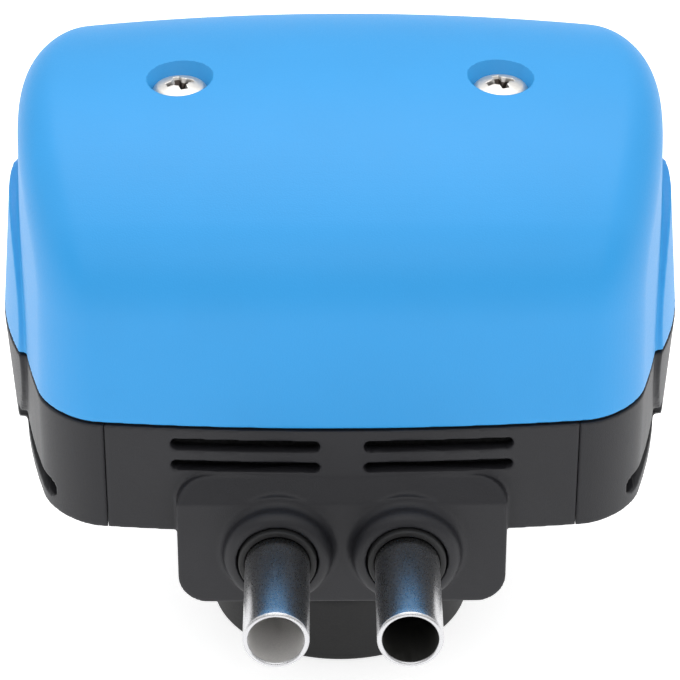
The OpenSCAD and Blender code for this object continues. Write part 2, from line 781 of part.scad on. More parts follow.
// Round-ended slot through the end wall, wrapping the corner
module side_slot(y_side) {
    r = slot_h / 2;
    z = parting_z - slot_drop;
    x0 = seam_x + 6;
    for (y = [slot_y0 + r, slot_y1 - r]) translate([0, y_side * y, z]) x_cylinder(r, x0, far);
    box(x0, far, min(y_side * (slot_y0 + r), y_side * (slot_y1 - r)),
        max(y_side * (slot_y0 + r), y_side * (slot_y1 - r)), z - r, z + r);
}

module end_cover_screws() {
    head_x = seam_x + seam_gap + flange_t + seat_gap;
    color(steel) for (side = [-1, 1]) on_side(side) at_ears() difference() {
        union() {
            x_cylinder(clamp_head_r, head_x, head_x + clamp_head_h);
            x_cylinder(clamp_screw_d / 2, seam_x - clamp_thread_l, head_x + eps);
        }
        box(head_x + 1, head_x + 4, -clamp_cross, clamp_cross, -clamp_slit, clamp_slit);
        box(head_x + 1, head_x + 4, -clamp_slit, clamp_slit, -clamp_cross, clamp_cross);
    }
}

// ---- Shuttle ----

// Rubber disc with a rolled ring between its clamped rim and its centre, on the right side
module diaphragm_right() {
    x0 = seam_x - diaphragm_t;
    roll = roll_h;
    roll_r = (plate_r + inner_chamber_r) / 2 + plate_lip;
    t = diaphragm_t;
    color(rubber) turned_on_shuttle([
        [shaft_d / 2 + seat_gap, x0], [plate_r - 0.5, x0], [roll_r - 0.7, x0 + roll],
        [roll_r + 0.7, x0 + roll], [chamber_r - 1, x0], [diaphragm_r, x0],
        [diaphragm_r, x0 + t], [chamber_r - 1, x0 + t], [roll_r + 0.9, x0 + roll + t],
        [roll_r - 0.9, x0 + roll + t], [plate_r - 0.2, x0 + t], [shaft_d / 2 + seat_gap, x0 + t]
    ]);
}

module inner_plate_right() {
    x1 = seam_x - diaphragm_t - seat_gap;
    color(steel) turned_on_shuttle([
        [shaft_d / 2 + seat_gap, x1 - plate_t], [plate_r - 1, x1 - plate_t], [plate_r - 0.5,
            x1 - plate_t + 0.5],
        [plate_r - 0.5, x1], [shaft_d / 2 + seat_gap, x1]
    ]);
}

module outer_plate_right() {
    x0 = seam_x + seat_gap;
    color(steel) turned_on_shuttle([
        [shaft_d / 2 + seat_gap, x0], [plate_r - 1.2, x0], [plate_r - 1.2, x0 + plate_t - 0.5],
        [plate_r - 1.7, x0 + plate_t], [shaft_d / 2 + seat_gap, x0 + plate_t]
    ]);
}

module shaft_nut_right() {
    x0 = seam_x + plate_t + 2 * seat_gap;
    color(steel) translate([x0, 0, axis_z]) rotate([0, 90, 0]) difference() {
        cylinder(r = nut_r, h = nut_h, $fn = 6);
        translate([0, 0, -1]) cylinder(r = shaft_d / 2 + seat_gap, h = nut_h + 2);
    }
}

module diaphragm_left() { mirror([1, 0, 0]) diaphragm_right(); }
module inner_plate_left() { mirror([1, 0, 0]) inner_plate_right(); }
module outer_plate_left() { mirror([1, 0, 0]) outer_plate_right(); }
module shaft_nut_left() { mirror([1, 0, 0]) shaft_nut_right(); }

module shuttle_shaft() {
    tip = seam_x + plate_t + nut_h + shaft_tip;
    r = shaft_d / 2;
    color(steel) turned_on_shuttle([
        [0, -tip], [r - 0.4, -tip], [r, -tip + 0.4], [r, tip - 0.4], [r - 0.4, tip], [0, tip]
    ]);
}

module shaft_bush_right() {
    color(white_resin) difference() {
        translate([0, 0, axis_z]) x_cylinder(shaft_bush_od / 2, bush_x0, bush_x1);
        translate([0, 0, axis_z]) x_cylinder(shaft_d / 2 + shaft_fit, bush_x0 - 1, bush_x1 + 1);
    }
}

module shaft_bush_left() { mirror([1, 0, 0]) shaft_bush_right(); }

// Block on the shaft whose legs push the main slide and whose pin drives the rocker
module slide_yoke() {
    ear_z = rocker_z + rocker_t + 0.4;
    color(white_resin) difference() {
        union() {
            box(-yoke_half_x, yoke_half_x, -yoke_half_y, yoke_half_y, yoke_z0, yoke_z1);
            for (side = [-1, 1]) on_side(side)
                box(yoke_half_x - leg_t, yoke_half_x, -yoke_half_y, yoke_half_y,
                    plate_z + 0.4, yoke_z0 + eps);
            box(-2.5, 2.5, yoke_half_y - eps, drive_y + 1, ear_z, ear_z + 2);
            translate([0, drive_y, rocker_z - 0.5]) cylinder(r = drive_pin_d / 2,
                h = ear_z + 2 - rocker_z + 0.5);
        }
        translate([0, 0, axis_z]) x_cylinder(shaft_d / 2 + seat_gap, -far, far);
    }
}

module main_slide() {
    cavity_x = port_x - port_r;
    color(white_resin) difference() {
        box(-slide_half_x, slide_half_x, -slide_half_y, slide_half_y, plate_z + seat_gap, plate_z + slide_h);
        box(-cavity_x, cavity_x, -2.5, 2.5, plate_z - 1, plate_z + slide_h - 1.2);
    }
}

// Arched leaf that presses the slide onto its port plate
module slide_spring() {
    z0 = plate_z + slide_h + seat_gap;
    rise = yoke_z0 - seat_gap - z0 - 0.3;
    steps = 8;
    half = 8;
    function arch(i) = [half * (2 * i / steps - 1), z0 + rise * sin(180 * i / steps)];
    color(steel) translate([0, 3, 0]) rotate([90, 0, 0]) linear_extrude(6) polygon(concat(
        [for (i = [0 : steps]) arch(i)],
        [for (i = [steps : -1 : 0]) arch(i) + [0, 0.3]]
    ));
}

// ---- Valve table ----

module port_plate() {
    color(steel) difference() {
        box(-table_half_x + 0.5, table_half_x - 0.5, -8, 8, plate_z - plate_h, plate_z);
        for (x = [-1, 0, 1]) translate([x * port_x, 0, plate_z - plate_h - 1])
            cylinder(r = port_r, h = plate_h + 2);
        plate_screw_places() cylinder(r = 1.3, h = plate_h + 2);
    }
}

module plate_screw_places() {
    for (x = [-1, 1]) for (y = [-1, 1])
        translate([x * (table_half_x - 2), y * 6.4, plate_z - plate_h - 1]) children();
}

module pilot_plate() {
    color(steel) difference() {
        box(-table_half_x + 0.5, table_half_x - 0.5, pilot_y - 4.2, table_rear - 0.5,
            plate_z - plate_h, plate_z);
        for (x = [-1, 0, 1]) translate([x * 4, pilot_y, plate_z - plate_h - 1])
            cylinder(r = 0.8, h = plate_h + 2);
    }
}

module port_gasket() {
    color(rubber) difference() {
        box(-table_half_x + 0.5, table_half_x - 0.5, -8, table_rear - 0.5,
            table_z + seat_gap / 2, table_z + gasket_t - seat_gap / 2);
        for (x = [-1, 0, 1]) translate([x * port_x, 0, table_z - 1]) cylinder(r = port_r + 0.3, h = 4);
        translate([0, pivot_y, table_z - 1]) cylinder(r = 3.3, h = 4);
        plate_screw_places() translate([0, 0, -1]) cylinder(r = 1.3, h = 4);
    }
}

module port_plate_screws() {
    color(steel) plate_screw_places() {
        translate([0, 0, plate_h + 1 + seat_gap]) cylinder(r = 1.5, h = 0.9);
        translate([0, 0, 0.3]) cylinder(r = 1.1, h = plate_h + 0.9);
    }
}

// ---- Rocker and pilot slide ----

module rocker_lever() {
    color(steel) difference() {
        union() {
            translate([0, pivot_y, rocker_z]) cylinder(r = 3.2, h = rocker_t);
            box(-fork_half, fork_half, pivot_y - fork_reach, pivot_y + fork_reach, rocker_z,
                rocker_z + rocker_t);
        }
        translate([0, pivot_y, rocker_z - 1]) cylinder(r = 1.55, h = rocker_t + 2);
        for (s = [-1, 1]) {
            translate([0, pivot_y + s * (rocker_arm - 0.8), rocker_z - 1]) cylinder(r = fork_r,
                h = rocker_t + 2);
            box(-fork_r, fork_r, pivot_y + s * rocker_arm - (s > 0 ? 0.8 : 4), pivot_y + s * rocker_arm
                + (s > 0 ? 4 : 0.8), rocker_z - 1, rocker_z + rocker_t + 1);
        }
    }
}

module rocker_pin() {
    color(steel) translate([0, pivot_y, 0]) {
        translate([0, 0, table_z - 4.9]) cylinder(r = 1.5, h = rocker_z + rocker_t + 0.2 - table_z + 4.9);
        translate([0, 0, rocker_z + rocker_t + 0.1]) cylinder(r = 2.3, h = 0.8);
    }
}

module pilot_slide() {
    color(white_resin) difference() {
        union() {
            box(-pilot_half_x, pilot_half_x, pilot_y - pilot_half_y, pilot_y + pilot_half_y,
                plate_z + seat_gap, plate_z + pilot_h);
            translate([0, pilot_y, plate_z + 1]) cylinder(r = drive_pin_d / 2,
                h = rocker_z + rocker_t - plate_z - 0.5);
        }
        box(-2.5, 2.5, pilot_y - 1, pilot_y + 1, plate_z - 1, plate_z + 1.2);
    }
}

// ---- Nipples and filters ----

module pulse_nipple(x) {
    y1 = -block_front + nipple_seat - seat_gap;
    color(steel) translate([x, 0, nipple_z]) difference() {
        union() {
            y_cylinder(nipple_od / 2, -nipple_reach, lip_y);
            y_cylinder(nipple_od / 2 - nipple_step, lip_y - eps, y1);
        }
        y_cylinder(nipple_bore / 2, -nipple_reach - 1, y1 + 1);
    }
}

module nipple_bush(x) {
    color(rubber) translate([x, 0, nipple_z]) difference() {
        union() {
            y_cylinder(bush_od / 2, lip_y, -block_front + lip_root);
            y_cylinder(collar_bore / 2 - seat_gap, -block_front + lip_root - 1,
                -block_front + nipple_seat - seat_gap);
        }
        y_cylinder(nipple_od / 2 - nipple_step + seat_gap, -nipple_reach, 0);
    }
}

module pulse_nipple_left() { pulse_nipple(-nipple_pitch / 2); }
module pulse_nipple_right() { pulse_nipple(nipple_pitch / 2); }
module nipple_bush_left() { nipple_bush(-nipple_pitch / 2); }
module nipple_bush_right() { nipple_bush(nipple_pitch / 2); }

module air_filter_right() {
    wall_y = body_half_y - wall - bow(vent_x1 + 0.5, side_bow_r) - 0.2;
    color([0.35, 0.36, 0.38]) box(vent_x0 - 0.5, vent_x1 + 0.5, -wall_y, -wall_y + 3,
        parting_z - vent_drop - vent_pitch - 2.5, parting_z - 1.2);
}

module air_filter_left() { mirror([1, 0, 0]) air_filter_right(); }

// ---- Rate screw ----

module rate_screw() {
    head_y = rate_wall_y + rate_lift;
    bore_end = rate_wall_y - rate_bush_l;
    color(brass) translate([rate_x, 0, rate_z]) difference() {
        union() {
            y_cylinder(rate_head_d / 2, head_y, head_y + 3);
            y_cylinder(rate_d / 2, bore_end, head_y + eps);
            translate([0, bore_end + eps, 0]) rotate([90, 0, 0]) cylinder(r1 = rate_d / 2, r2 = 0.6,
                h = rate_cone_l);
        }
        box(-5, 5, head_y + 1.8, head_y + 5, -0.5, 0.5);
        translate([0, rate_wall_y - rate_seal_back, 0]) rotate([90, 0, 0]) rotate_extrude()
            translate([rate_d / 2 + 0.3, 0]) square([1.4, 1.8], center = true);
    }
}

module rate_seal() {
    color(rubber) translate([rate_x, rate_wall_y - rate_seal_back, rate_z]) rotate([90, 0,
        0]) rotate_extrude()
        translate([rate_d / 2 + 0.28, 0]) circle(r = 0.55, $fn = 24);
}

module rate_bushing() {
    color(brass) translate([rate_x, 0, rate_z]) difference() {
        y_cylinder(rate_bush_r, rate_wall_y - rate_bush_l, rate_wall_y);
        y_cylinder(rate_d / 2 + 0.05, rate_wall_y - rate_bush_l - 1, rate_wall_y + 1);
        y_cylinder(rate_d / 2 + 0.9, rate_wall_y - 5.2, rate_wall_y - 0.5);
    }
}

// ---- Vacuum connection ----

module vacuum_stem() {
    color(ink) difference() {
        union() {
            translate([0, 0, stem_z]) cylinder(r = stem_od / 2, h = stem_top_z - stem_z);
            translate([0, 0, block_z - stem_flange_t - stem_seal_t]) cylinder(r = stem_flange_r,
                h = stem_flange_t);
        }
        translate([0, 0, stem_z - 1]) cylinder(r = stem_bore / 2, h = far);
    }
}

module stem_nut() {
    color(brass) translate([0, 0, plenum_z + seat_gap]) difference() {
        cylinder(r = stem_nut_r, h = 4, $fn = 6);
        translate([0, 0, -1]) cylinder(r = stem_od / 2 + seat_gap, h = 6);
    }
}

module stem_seal() {
    color(rubber) difference() {
        translate([0, 0, block_z - stem_seal_t + seat_gap / 2])
            cylinder(r = stem_flange_r - 1, h = stem_seal_t - seat_gap);
        translate([0, 0, block_z - 2]) cylinder(r = stem_od / 2 + seat_gap, h = 4);
    }
}

module vacuum_foot() {
    flange_under = block_z - stem_flange_t - stem_seal_t;
    top = flange_under - seat_gap;
    color(rubber) rotate_extrude($fn = 96) difference() {
        union() {
            square([foot_r, foot_h - foot_round]);
            translate([0, foot_h - foot_round]) square([foot_r - foot_round, foot_round]);
            translate([foot_r - foot_round, foot_h - foot_round]) circle(r = foot_round);
            square([neck_r, top]);
        }
        translate([-1, -1]) square([socket_d / 2 + 1, socket_l + 1]);
        translate([-1, 0]) square([stem_bore / 2 + 1, far]);
        translate([-1, stem_z - seat_gap]) square([stem_od / 2 + seat_gap + 1, far]);
        translate([-far, -far]) square([far, far * 3]);
    }
}

top_cover();
cover_gasket();
cover_screws();
cover_inserts();
center_body();
end_cover_left();
end_cover_right();
end_cover_screws();
diaphragm_left();
diaphragm_right();
inner_plate_left();
inner_plate_right();
outer_plate_left();
outer_plate_right();
shaft_nut_left();
shaft_nut_right();
shuttle_shaft();
shaft_bush_left();
shaft_bush_right();
slide_yoke();
main_slide();
slide_spring();
port_plate();
pilot_plate();
port_gasket();
port_plate_screws();
rocker_lever();
rocker_pin();
pilot_slide();
pulse_nipple_left();
pulse_nipple_right();
nipple_bush_left();
nipple_bush_right();
air_filter_left();
air_filter_right();
rate_screw();
rate_seal();
rate_bushing();
vacuum_stem();
stem_nut();
stem_seal();
vacuum_foot();
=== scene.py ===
import json
import math
import bmesh
import bpy
from mathutils import Matrix, Vector


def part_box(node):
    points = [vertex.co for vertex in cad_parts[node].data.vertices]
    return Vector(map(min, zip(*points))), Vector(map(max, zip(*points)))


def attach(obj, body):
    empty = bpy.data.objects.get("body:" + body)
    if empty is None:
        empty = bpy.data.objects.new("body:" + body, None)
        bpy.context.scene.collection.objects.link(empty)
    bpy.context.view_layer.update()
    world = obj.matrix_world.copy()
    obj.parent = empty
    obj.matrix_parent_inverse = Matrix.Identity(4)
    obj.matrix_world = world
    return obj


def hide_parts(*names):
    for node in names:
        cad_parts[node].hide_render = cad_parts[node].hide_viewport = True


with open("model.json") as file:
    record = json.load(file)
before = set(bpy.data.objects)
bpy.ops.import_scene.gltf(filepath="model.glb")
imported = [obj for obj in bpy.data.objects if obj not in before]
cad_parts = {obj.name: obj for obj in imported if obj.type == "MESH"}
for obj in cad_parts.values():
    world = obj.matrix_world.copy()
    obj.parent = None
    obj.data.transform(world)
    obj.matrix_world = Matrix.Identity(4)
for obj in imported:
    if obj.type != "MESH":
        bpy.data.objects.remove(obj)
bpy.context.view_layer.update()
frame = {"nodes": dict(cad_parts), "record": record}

MM = 0.001

# Driving dimensions of the shells, in millimetres, as the CAD model has them
HALF_X = 46.9
HALF_Y = 39.6
END_BOW_R = 115.0
SIDE_BOW_R = 300.0
CORNER_R = 7.5
WALL = 2.2
COVER_H = 38.1
SHOULDER_R = 15.0
CROWN_R = 60.0
LONG_CROWN_R = 500.0
EDGE_R = 6.0
LEAN = 0.033
DRAFT = 0.02
DISC_R = 19.2
DISC_X = 49.5
DISC_BOW_R = 52.7
DISC_LEAN_UP = math.radians(5.0)
BOSS_R = 6.5
RECESS_R = 4.65
SCREW_HOLE_R = 2.3
NIPPLE_WALL = 0.75
NIPPLE_FREE = 17.6
NIPPLE_STEP = 0.25

# Places read from the frame, in millimetres
PARTING_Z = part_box("top_cover")[0].z / MM
SCREW_LOW, SCREW_HIGH = [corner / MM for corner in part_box("cover_screws")]
SCREW_X = SCREW_HIGH.x - 4.0
SCREW_Y = (SCREW_LOW.y + SCREW_HIGH.y) / 2
HEAD_TOP_Z = SCREW_HIGH.z
HEAD_H = 2.9
VENT_X = (3.05, 23.6)
VENT_ROWS = ((2.9, 1.8), (6.3, 1.5))
SLOT_Y = (12.0, 33.5)
SLOT_DROP = 13.9
SLOT_H = 2.7
SLOT_INNER_X = 41.5
SLOT_CUT_X = 60
VENT_CUT_Y = -50
VENT_INNER_DEPTH = 3.2
CUT_MARGIN = 0.08
BODY_SEAM_X = 32.75
SEAM_GAP = 0.12
SEAM_SNAP = 0.3

COVER_VOXEL = 0.32
LOWER_VOXEL = 0.26
SCREW_VOXEL = 0.08
POST_TOP_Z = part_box("cover_inserts")[1].z / MM


# ---------------------------------------------------------------- mesh helpers

def mesh_object(name, verts, faces, scale=MM):
    """A new object whose mesh has these corners, given in millimetres."""
    mesh = bpy.data.meshes.new(name)
    mesh.from_pydata([tuple(c * scale for c in v) for v in verts], [], faces)
    mesh.validate()
    obj = bpy.data.objects.new(name, mesh)
    bpy.context.scene.collection.objects.link(obj)
    bm = bmesh.new()
    bm.from_mesh(mesh)
    bmesh.ops.recalc_face_normals(bm, faces=bm.faces)
    bm.to_mesh(mesh)
    bm.free()
    return obj


def joined(name, parts):
    """One object holding the meshes of all parts, which are removed."""
    bm = bmesh.new()
    for part in parts:
        bm.from_mesh(part.data)
        bpy.data.objects.remove(part)
    mesh = bpy.data.meshes.new(name)
    bm.to_mesh(mesh)
    bm.free()
    obj = bpy.data.objects.new(name, mesh)
    bpy.context.scene.collection.objects.link(obj)
    return obj


def apply_modifiers(obj):
    """Turns the object's modifiers into its own mesh."""
    graph = bpy.context.evaluated_depsgraph_get()
    mesh = bpy.data.meshes.new_from_object(obj.evaluated_get(graph))
    old = obj.data
    obj.modifiers.clear()
    obj.data = mesh
    bpy.data.meshes.remove(old)


def cut(obj, cutters):
    """Takes the cutters away from the object."""
    for cutter in cutters:
        mod = obj.modifiers.new("cut", "BOOLEAN")
        mod.object = cutter
        mod.operation = "DIFFERENCE"
        mod.solver = "EXACT"
    apply_modifiers(obj)
    for cutter in cutters:
        bpy.data.objects.remove(cutter)


def moulded(obj, voxel, rounds):
    """Rebuilds the object as one even skin with softly rounded edges."""
    skin = obj.modifiers.new("skin", "REMESH")
    skin.mode = "VOXEL"
    skin.voxel_size = voxel * MM
    soft = obj.modifiers.new("soft", "SMOOTH")
    soft.factor = 0.5
    soft.iterations = rounds
    apply_modifiers(obj)
    shade_smooth(obj)


def shade_smooth(obj):
    for polygon in obj.data.polygons:
        polygon.use_smooth = True


def copy_of(node, name):
    """A new object with a welded copy of a CAD node's mesh."""
    bm = bmesh.new()
    bm.from_mesh(frame["nodes"][node].data)
    bmesh.ops.transform(bm, matrix=frame["nodes"][node].matrix_world, verts=bm.verts)
    bmesh.ops.remove_doubles(bm, verts=bm.verts, dist=0.001 * MM)
    mesh = bpy.data.meshes.new(name)
    bm.to_mesh(mesh)
    bm.free()
    obj = bpy.data.objects.new(name, mesh)
    bpy.context.scene.collection.objects.link(obj)
    return obj


def arc(centre, radius, start, end, steps):
    """Points (r, h) of an arc from angle start to angle end, in degrees."""
    return [
        (
            centre[0] + radius * math.cos(math.radians(start + (end - start) * i / steps)),
            centre[1] + radius * math.sin(math.radians(start + (end - start) * i / steps)),
        )
        for i in range(steps + 1)
    ]


def lathe(name, profile, place, axis=(0, 0, 1), segments=96):
    """A closed profile of (radius, height) points turned about an axis through place, in millimetres."""
    turn = Vector((0, 0, 1)).rotation_difference(Vector(axis)).to_matrix()
    verts = []
    for i in range(segments):
        a = 2 * math.pi * i / segments
        for r, h in profile:
            verts.append(turn @ Vector((r * math.cos(a), r * math.sin(a), h)) + Vector(place))
    n = len(profile)
    faces = []
    for i in range(segments):
        k = (i + 1) % segments
        for j in range(n):
            m = (j + 1) % n
            faces.append((i * n + j, k * n + j, k * n + m, i * n + m))
    obj = mesh_object(name, verts, faces)
    bm = bmesh.new()
    bm.from_mesh(obj.data)
    bmesh.ops.remove_doubles(bm, verts=bm.verts, dist=0.0005 * MM)
    bm.to_mesh(obj.data)
    bm.free()
    shade_smooth(obj)
    return obj


def cylinder(name, r, z0, z1, x, y, segments=64):
    """A plain solid cylinder, used only as a cutter or as stock for a moulded skin."""
    return lathe(name, [(0.0, z0), (r, z0), (r, z1), (0.0, z1)], (x, y, 0), segments=segments)


# ---------------------------------------------------------------- cover

def bow(a, r):
    return a * a / (2 * r)


def bowed(x, y, z):
    """Moves a point of the straight-sided block onto the bowed and leaning walls."""
    bx = x * (1 - (bow(y, END_BOW_R) + LEAN * max(z, 0)) / HALF_X)
    drop = bow(bx, LONG_CROWN_R) / COVER_H if z > 0 else 0
    return (bx, y * (1 - bow(bx, SIDE_BOW_R) / HALF_Y), PARTING_Z + z * (1 - drop))


CROWN_C = COVER_H - CROWN_R
SHOULDER_Y = HALF_Y - SHOULDER_R - DRAFT * COVER_H / 2
SHOULDER_Z = CROWN_C + math.sqrt((CROWN_R - SHOULDER_R) ** 2 - SHOULDER_Y ** 2)
SHOULDER_END = math.degrees(math.atan2(SHOULDER_Z - CROWN_C, SHOULDER_Y))


def section(d, wall_steps=12, arc_steps=26, crown_steps=26):
    """The cover's section pulled in by d, from the front parting over the top to the rear parting."""
    lean = DRAFT * COVER_H / 2
    half = []
    for i in range(wall_steps):
        z = SHOULDER_Z * i / wall_steps
        half.append((HALF_Y - d - lean * z / SHOULDER_Z, z))
    half += arc((SHOULDER_Y, SHOULDER_Z), SHOULDER_R - d, 0, SHOULDER_END, arc_steps)[:-1]
    half += arc((0, CROWN_C), CROWN_R - d, SHOULDER_END, 90, crown_steps)
    return [(-y, z) for y, z in half] + half[-2::-1]


def edge_radius(z, d):
    k = min(max(z / COVER_H, 0), 1)
    return max(CORNER_R + (EDGE_R - CORNER_R) * k - d, 0.5)


def cover_rings(d):
    """Rings of points from the left end wall to the right one, of the skin pulled in by d."""
    outer = section(d)
    sections = {}

    def ring(side, k, angle):
        points = []
        for i, (y0, z0) in enumerate(outer):
            r = edge_radius(z0, d)
            pull = round(d + r * (1 - math.cos(angle)), 3)
            if pull not in sections:
                sections[pull] = section(pull)
            y, z = sections[pull][i]
            x = side * (HALF_X - d - r + r * math.sin(angle))
            points.append(bowed(x, k * y, k * z))
        return points

    caps = [0.02 + 0.98 * i / 16 for i in range(16)]
    turns = [math.pi / 2 * i / 14 for i in range(15)]
    straight = HALF_X - CORNER_R - 1
    rings = [ring(-1, k, math.pi / 2) for k in caps]
    rings += [ring(-1, 1, a) for a in reversed(turns)]
    rings += [[bowed(straight * (i / 20 - 1), y, z) for y, z in outer] for i in range(41)]
    rings += [ring(1, 1, a) for a in turns]
    rings += [ring(1, k, math.pi / 2) for k in reversed(caps)]
    return rings


def shell_mesh(name):
    """Outer and inner skin of the cover, joined along the parting."""
    outer, inner = cover_rings(0.0), cover_rings(WALL)
    n, m = len(outer), len(outer[0])
    verts = [p for ring in outer for p in ring] + [p for ring in inner for p in ring]
    shift = n * m
    faces = []
    for i in range(n - 1):
        for j in range(m - 1):
            a, b, c, d = i * m + j, i * m + j + 1, (i + 1) * m + j + 1, (i + 1) * m + j
            faces.append((a, b, c, d))
            faces.append((shift + d, shift + c, shift + b, shift + a))
    rim = [i * m for i in range(n)] + [(n - 1) * m + j for j in range(1, m)]
    rim += [i * m + m - 1 for i in range(n - 2, -1, -1)] + list(range(m - 2, 0, -1))
    for a, b in zip(rim, rim[1:] + rim[:1]):
        faces.append((b, a, shift + a, shift + b))
    return mesh_object(name, verts, faces)


def disc_face(y, z):
    """Distance of the raised disc's face from the middle."""
    return DISC_X - bow(y, DISC_BOW_R) - math.tan(DISC_LEAN_UP) * max(z, 0)


def half_disc(name, side, back=3.2, rings=24, turns=72):
    """Upper half of the raised disc, as a closed solid that reaches into the wall."""
    verts, faces = [], []
    for depth in (0.0, back):
        for i in range(rings + 1):
            r = DISC_R * max(i / rings, 0.002)
            for k in range(turns + 1):
                a = math.pi * k / turns
                y, z = r * math.cos(a), r * math.sin(a)
                verts.append((side * (disc_face(y, z) - depth), y, PARTING_Z + z))
    row, layer = turns + 1, (rings + 1) * (turns + 1)
    for base in (0, layer):
        for i in range(rings):
            for k in range(turns):
                a = base + i * row + k
                faces.append((a, a + 1, a + row + 1, a + row))
    edge = [rings * row + k for k in range(row)]
    edge += [i * row + turns for i in range(rings - 1, -1, -1)]
    edge += [k for k in range(turns - 1, -1, -1)]
    edge += [i * row for i in range(1, rings)]
    for a, b in zip(edge, edge[1:] + edge[:1]):
        faces.append((a, b, layer + b, layer + a))
    return mesh_object(name, verts, faces)


def make_cover():
    parts = [shell_mesh("shell")]
    for side in (-1, 1):
        parts.append(half_disc("disc", side))
        parts.append(cylinder("boss", BOSS_R, POST_TOP_Z + 0.05, HEAD_TOP_Z - 1.2, side * SCREW_X, SCREW_Y))
    cover = joined("blue_cover", parts)
    moulded(cover, COVER_VOXEL, 3)
    cutters = []
    for side in (-1, 1):
        x, y = side * SCREW_X, SCREW_Y
        seat = HEAD_TOP_Z - HEAD_H - 0.05
        cutters.append(cylinder("recess", RECESS_R, seat, seat + 20, x, y, 128))
        cutters.append(cylinder("hole", SCREW_HOLE_R, POST_TOP_Z - 1, seat + 1, x, y, 64))
    cut(cover, cutters)
    return cover


# ---------------------------------------------------------------- lower housing

def slot_cutter(name, along, low, high, z, h, start, end):
    """Round-ended bar, long from low to high across the way it cuts."""
    r = h / 2 + CUT_MARGIN
    turns = [math.radians(a) for a in range(0, 181, 12)]
    rim = [(high - h / 2 + r * math.sin(a), r * math.cos(a)) for a in turns]
    rim += [(low + h / 2 - r * math.sin(a), -r * math.cos(a)) for a in turns]
    count = len(rim)
    verts = []
    for depth in (start, end):
        for across, up in rim:
            verts.append((depth, across, z + up) if along == "x" else (across, depth, z + up))
    faces = [tuple(range(count)), tuple(range(2 * count - 1, count - 1, -1))]
    faces += [(i, count + i, count + (i + 1) % count, (i + 1) % count) for i in range(count)]
    bar = mesh_object(name, verts, faces)
    bm = bmesh.new()
    bm.from_mesh(bar.data)
    bmesh.ops.recalc_face_normals(bm, faces=bm.faces)
    bm.to_mesh(bar.data)
    bm.free()
    return bar


def close_seams(piece, node):
    """Puts the skin's edges back on the seam planes, so that the seams stay thin."""
    seam = BODY_SEAM_X if node == "center_body" else BODY_SEAM_X + SEAM_GAP
    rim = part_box("end_cover_right")[1].z / MM
    for vertex in piece.data.vertices:
        x, z = vertex.co.x / MM, vertex.co.z / MM
        if abs(abs(x) - seam) < SEAM_SNAP:
            vertex.co.x = math.copysign(seam, x) * MM
        if abs(z - rim) < SEAM_SNAP:
            vertex.co.z = rim * MM


def soften_pad(piece, rounds):
    """Rounds the edges of the half disc on an end cover."""
    group = piece.vertex_groups.new(name="pad")
    slot_z = PARTING_Z - SLOT_DROP
    group.add([v.index for v in piece.data.vertices
               if abs(v.co.x) > (HALF_X - 0.6) * MM and v.co.z < (PARTING_Z - 1.2) * MM
               and (abs(v.co.z / MM - slot_z) > 2.2 or abs(v.co.y / MM) < SLOT_Y[0] - 1)], 1.0, "REPLACE")
    soft = piece.modifiers.new("pad", "SMOOTH")
    soft.factor = 0.5
    soft.iterations = rounds
    soft.vertex_group = "pad"
    apply_modifiers(piece)


def make_lower(node, name):
    piece = copy_of(node, name)
    moulded(piece, LOWER_VOXEL, 1)
    cutters = []
    if node == "center_body":
        for drop, h in VENT_ROWS:
            for side in (-1, 1):
                ends = sorted(side * x for x in VENT_X)
                cutters.append(slot_cutter("vent", "y", ends[0], ends[1], PARTING_Z - drop, h,
                                           VENT_CUT_Y, -HALF_Y + VENT_INNER_DEPTH))
    else:
        side = -1 if node.endswith("left") else 1
        for y_side in (-1, 1):
            ends = sorted(y_side * y for y in SLOT_Y)
            cutters.append(slot_cutter("slot", "x", ends[0], ends[1], PARTING_Z - SLOT_DROP, SLOT_H,
                                       side * SLOT_INNER_X, side * SLOT_CUT_X))
    cut(piece, cutters)
    if node != "center_body":
        soften_pad(piece, 9)
    close_seams(piece, node)
    shade_smooth(piece)
    return piece


# ---------------------------------------------------------------- fittings

def make_screw(side):
    """Pan-head screw with a cross recess."""
    seat = HEAD_TOP_Z - HEAD_H
    r = 4.0
    profile = [(0.0, seat - 12), (1.6, seat - 12), (2.0, seat - 11.5), (2.0, seat), (r - 0.2, seat)]
    profile += arc((r - 0.25, seat + 0.25), 0.25, -80, 0, 4)
    profile += [(r, seat + 0.9)]
    profile += arc((r - 1.5, seat + 0.9), 1.5, 10, 62, 8)
    top_r, top_z = profile[-1]
    profile += [(top_r * (1 - i / 8), top_z + (HEAD_TOP_Z - top_z) * math.sin(math.pi / 2 * i / 8))
                for i in range(1, 9)]
    screw = lathe("screw", profile, (side * SCREW_X, SCREW_Y, 0), segments=128)
    cutters = []
    for quarter in range(2):
        cutters.append(cross_wing(side, math.radians(20 + 90 * quarter)))
    cutters.append(lathe("pit", [(0.0, HEAD_TOP_Z - 2.6), (1.5, HEAD_TOP_Z + 0.4), (0.0, HEAD_TOP_Z + 0.4)],
                         (side * SCREW_X, SCREW_Y, 0), segments=32))
    cut(screw, cutters)
    moulded(screw, SCREW_VOXEL, 1)
    return screw


def cross_wing(side, turn):
    """Tapered wing of the cross recess."""
    top, low = HEAD_TOP_Z + 0.4, HEAD_TOP_Z - 2.1
    verts = []
    for z, half, thick in ((low, 1.2, 0.36), (top, 2.35, 0.58)):
        for sx, sy in ((-1, -1), (1, -1), (1, 1), (-1, 1)):
            p = Matrix.Rotation(turn, 3, "Z") @ Vector((sx * half, sy * thick, 0))
            verts.append((p.x + side * SCREW_X, p.y + SCREW_Y, z))
    faces = [(0, 3, 2, 1), (4, 5, 6, 7)]
    faces += [(i, (i + 1) % 4, 4 + (i + 1) % 4, 4 + i) for i in range(4)]
    return mesh_object("wing", verts, faces)


